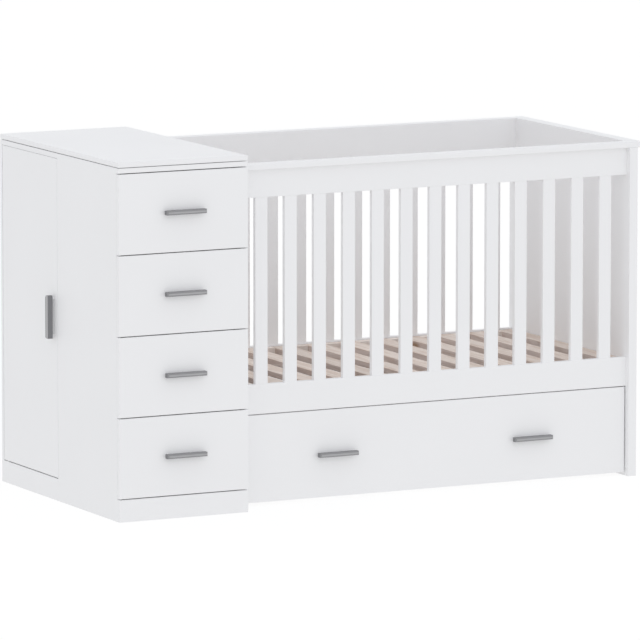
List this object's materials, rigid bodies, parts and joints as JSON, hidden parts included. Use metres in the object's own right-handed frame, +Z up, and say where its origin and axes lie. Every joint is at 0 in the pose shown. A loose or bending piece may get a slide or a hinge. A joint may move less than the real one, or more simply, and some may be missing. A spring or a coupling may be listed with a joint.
{
  "type": "convertible crib",
  "caption": "White convertible crib with slatted sides, a pine mattress base, a roll-out bed drawer on castors and a drawer and cupboard cabinet at one end.",
  "frame": {"origin": "on the floor, under the middle of the whole outline with the handles counted in", "axes": "+X along the length from the cabinet to the crib's free end, +Y from front to back, +Z up"},
  "size_m": [1.831, 0.877, 1.074],
  "materials": {
    "white_board": "satin white lacquer on board",
    "hardboard": "white-faced thin board",
    "grey_metal": "satin grey",
    "pine": "bare planed pine",
    "runner_steel": "zinc-plated",
    "bright_steel": "zinc-plated",
    "nylon": "natural nylon",
    "castor_plastic": "dark grey"
  },
  "bodies": {
    "frame": {"cabinet_top": "white_board", "top_spacers": "white_board", "cabinet_upper_panel": "white_board", "cabinet_right_side": "white_board", "cabinet_left_side": "white_board", "cabinet_partition": "white_board", "cabinet_rear_panel": "white_board", "cabinet_floors": "white_board", "cabinet_plinths": "white_board", "cupboard_shelves": "white_board", "crib_left_end": "white_board", "crib_right_end": "white_board", "crib_caps": "white_board", "front_top_rail": "white_board", "front_slats": "white_board", "front_bottom_rail": "white_board", "back_top_rail": "white_board", "back_slats": "white_board", "back_bottom_rail": "white_board", "bed_drawer_guides": "white_board", "shelf_supports": "bright_steel", "drawer_channels": "runner_steel", "hinge_pins": "bright_steel", "base_ledgers": "pine", "base_slats": "pine", "connector_bolts": "bright_steel", "connector_nuts": "bright_steel"},
    "drawer_1": {"drawer_1_front": "white_board", "drawer_1_box": "white_board", "drawer_1_bottom": "hardboard", "drawer_1_handle": "grey_metal", "drawer_1_runners": "runner_steel"},
    "drawer_2": {"drawer_2_front": "white_board", "drawer_2_box": "white_board", "drawer_2_bottom": "hardboard", "drawer_2_handle": "grey_metal", "drawer_2_runners": "runner_steel"},
    "drawer_3": {"drawer_3_front": "white_board", "drawer_3_box": "white_board", "drawer_3_bottom": "hardboard", "drawer_3_handle": "grey_metal", "drawer_3_runners": "runner_steel"},
    "drawer_4": {"drawer_4_front": "white_board", "drawer_4_box": "white_board", "drawer_4_bottom": "hardboard", "drawer_4_handle": "grey_metal", "drawer_4_runners": "runner_steel"},
    "door": {"cupboard_door": "white_board", "door_handle": "grey_metal", "hinge_bushes": "nylon"},
    "bed_drawer": {"bed_drawer_front": "white_board", "bed_drawer_box": "white_board", "bed_drawer_bottom": "white_board", "bed_drawer_handles": "grey_metal", "castor_brackets": "bright_steel", "castor_axles": "bright_steel"},
    "wheel_front_left": {"castor_wheel_front_left": "castor_plastic"},
    "wheel_front_right": {"castor_wheel_front_right": "castor_plastic"},
    "wheel_rear_left": {"castor_wheel_rear_left": "castor_plastic"},
    "wheel_rear_right": {"castor_wheel_rear_right": "castor_plastic"}
  },
  "joints": [
    {"name": "drawer_1_slide", "type": "slide", "parent": "frame", "child": "drawer_1", "axis": [0, -1, 0], "range_m": [0, 0.28]},
    {"name": "drawer_2_slide", "type": "slide", "parent": "frame", "child": "drawer_2", "axis": [0, -1, 0], "range_m": [0, 0.28]},
    {"name": "drawer_3_slide", "type": "slide", "parent": "frame", "child": "drawer_3", "axis": [0, -1, 0], "range_m": [0, 0.28]},
    {"name": "drawer_4_slide", "type": "slide", "parent": "frame", "child": "drawer_4", "axis": [0, -1, 0], "range_m": [0, 0.28]},
    {"name": "door_swing", "type": "hinge", "parent": "frame", "child": "door", "pos_m": [-0.881, 0.4015, 0.07], "axis": [0, 0, -1], "range_deg": [0, 105]},
    {"name": "bed_drawer_slide", "type": "slide", "parent": "frame", "child": "bed_drawer", "axis": [0, -1, 0], "range_m": [0, 0.6]},
    {"name": "wheel_front_left_roll", "type": "hinge", "parent": "bed_drawer", "child": "wheel_front_left", "pos_m": [-0.3375, -0.2245, 0.025], "axis": [1, 0, 0], "range_deg": [0, 1376]},
    {"name": "wheel_front_right_roll", "type": "hinge", "parent": "bed_drawer", "child": "wheel_front_right", "pos_m": [0.7575, -0.2245, 0.025], "axis": [1, 0, 0], "range_deg": [0, 1376]},
    {"name": "wheel_rear_left_roll", "type": "hinge", "parent": "bed_drawer", "child": "wheel_rear_left", "pos_m": [-0.3375, 0.2355, 0.025], "axis": [1, 0, 0], "range_deg": [0, 1376]},
    {"name": "wheel_rear_right_roll", "type": "hinge", "parent": "bed_drawer", "child": "wheel_rear_right", "pos_m": [0.7575, 0.2355, 0.025], "axis": [1, 0, 0], "range_deg": [0, 1376]}
  ],
  "couplings": [
    {"joint": "wheel_front_left_roll", "follows": "bed_drawer_slide", "rad_per_m": 40},
    {"joint": "wheel_front_right_roll", "follows": "bed_drawer_slide", "rad_per_m": 40},
    {"joint": "wheel_rear_left_roll", "follows": "bed_drawer_slide", "rad_per_m": 40},
    {"joint": "wheel_rear_right_roll", "follows": "bed_drawer_slide", "rad_per_m": 40}
  ]
}
